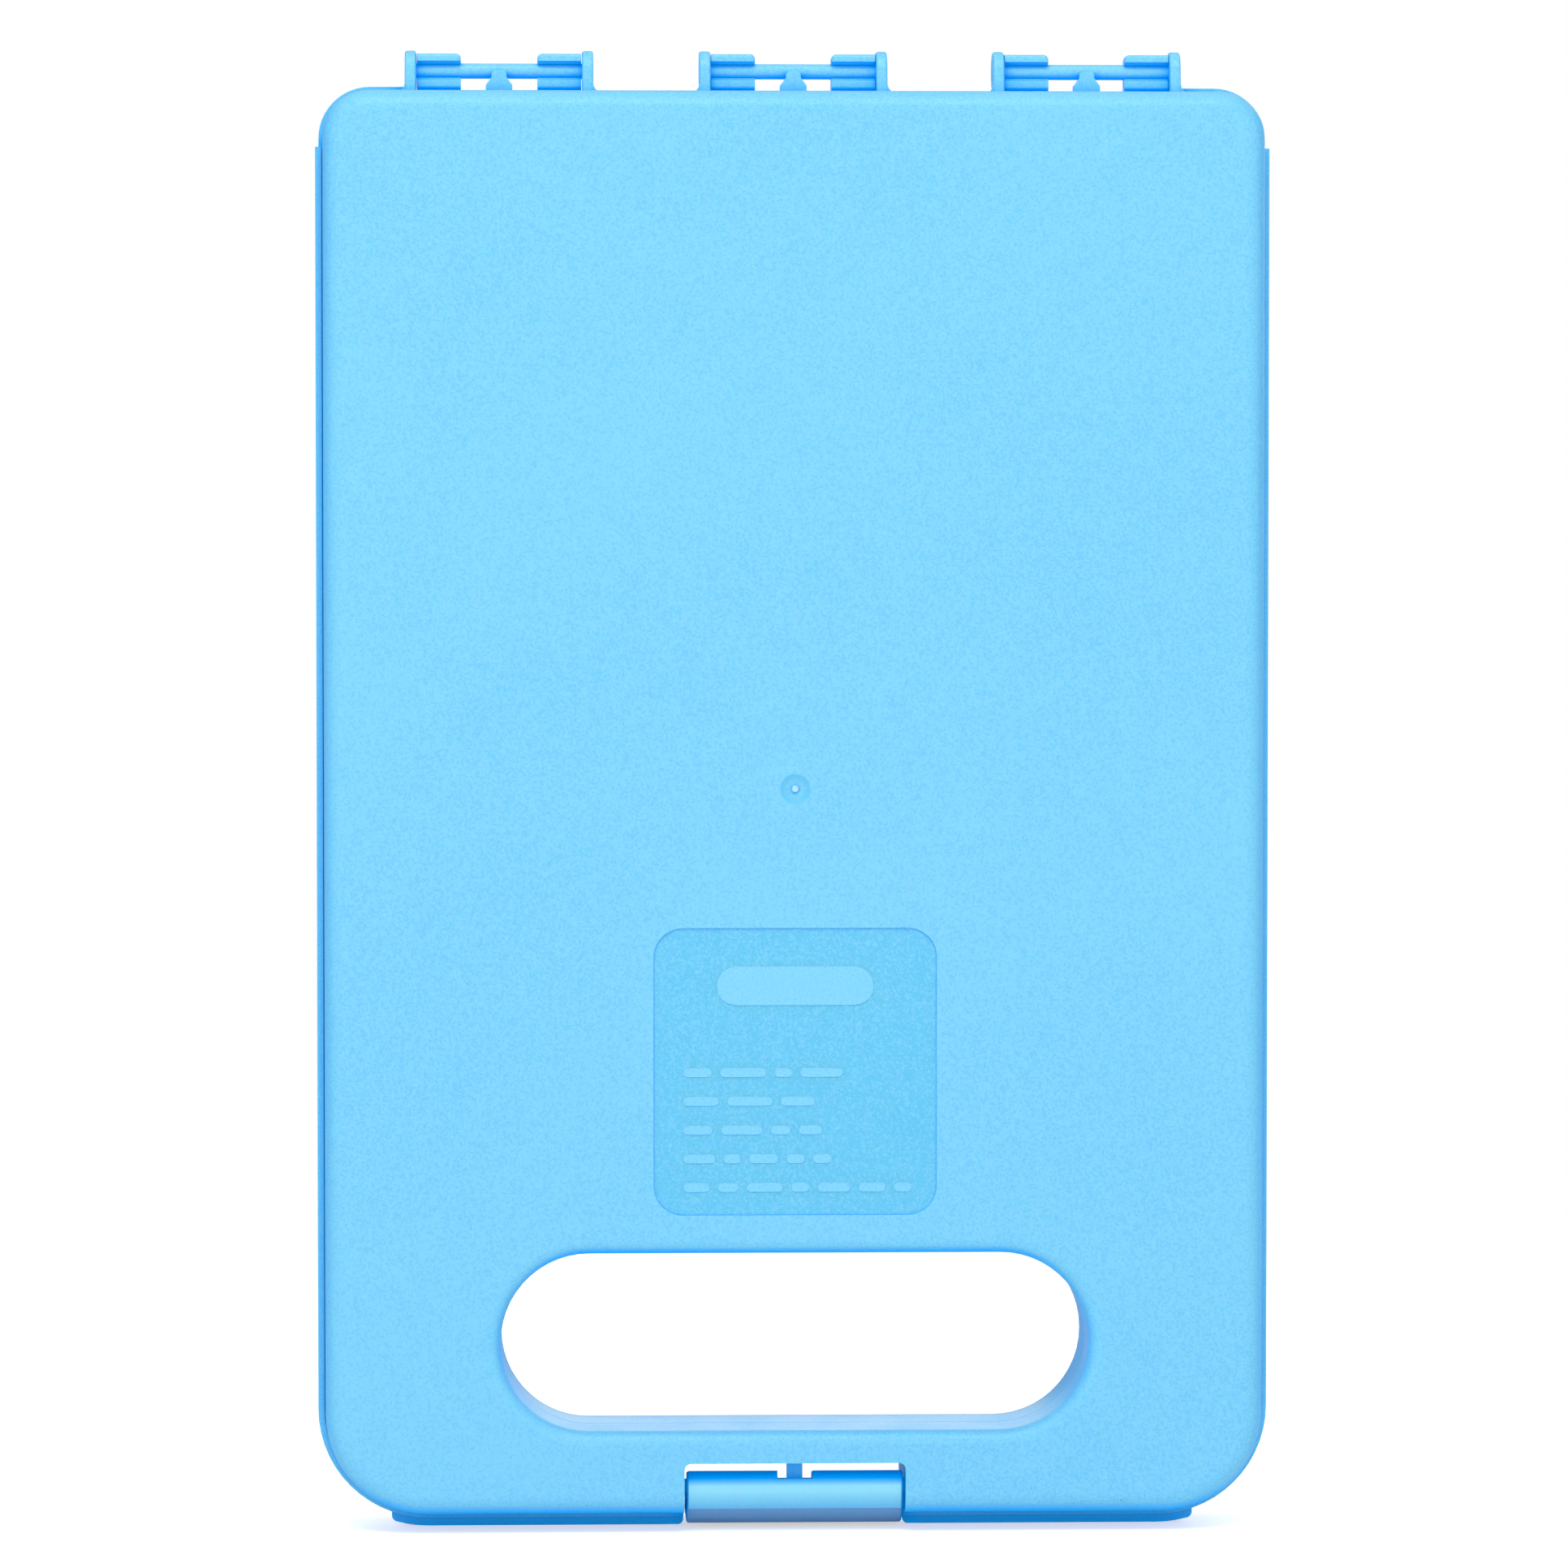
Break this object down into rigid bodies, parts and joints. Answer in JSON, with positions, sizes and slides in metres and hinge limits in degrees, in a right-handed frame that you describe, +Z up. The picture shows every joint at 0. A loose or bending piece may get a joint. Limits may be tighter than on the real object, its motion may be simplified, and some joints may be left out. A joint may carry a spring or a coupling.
{
  "type": "hinged carrying case",
  "caption": "Flat moulded plastic carrying case with snap hinges along the top, a carrying slot, a snap latch on the lower edge and a writing panel on its front.",
  "frame": {"origin": "Middle of the case's lowest edge, on the plane where the two trays meet.", "axes": "+Z up towards the hinges, +X to the right of a viewer who faces the back of the case, +Y from the back of the case towards its front."},
  "size_m": [0.1696, 0.025, 0.2632],
  "materials": {
    "case_plastic": "fine moulded texture, light blue polypropylene",
    "latch_plastic": "smoother moulded polypropylene in the same light blue",
    "panel_surface": "matt black chalk writing surface"
  },
  "bodies": {
    "back_tray": {"back_shell": "case_plastic"},
    "front_cover": {"front_shell": "case_plastic", "writing_panel": "panel_surface"},
    "latch_clasp": {"latch": "latch_plastic"}
  },
  "joints": [
    {"name": "cover_hinge", "type": "hinge", "parent": "back_tray", "child": "front_cover", "pos_m": [0, 0, 0.2596], "axis": [1, 0, 0], "range_deg": [0, 180]},
    {"name": "latch_hinge", "type": "hinge", "parent": "back_tray", "child": "latch_clasp", "pos_m": [0, -0.0082, 0.0081], "axis": [-1, 0, 0], "range_deg": [0, 45]}
  ]
}
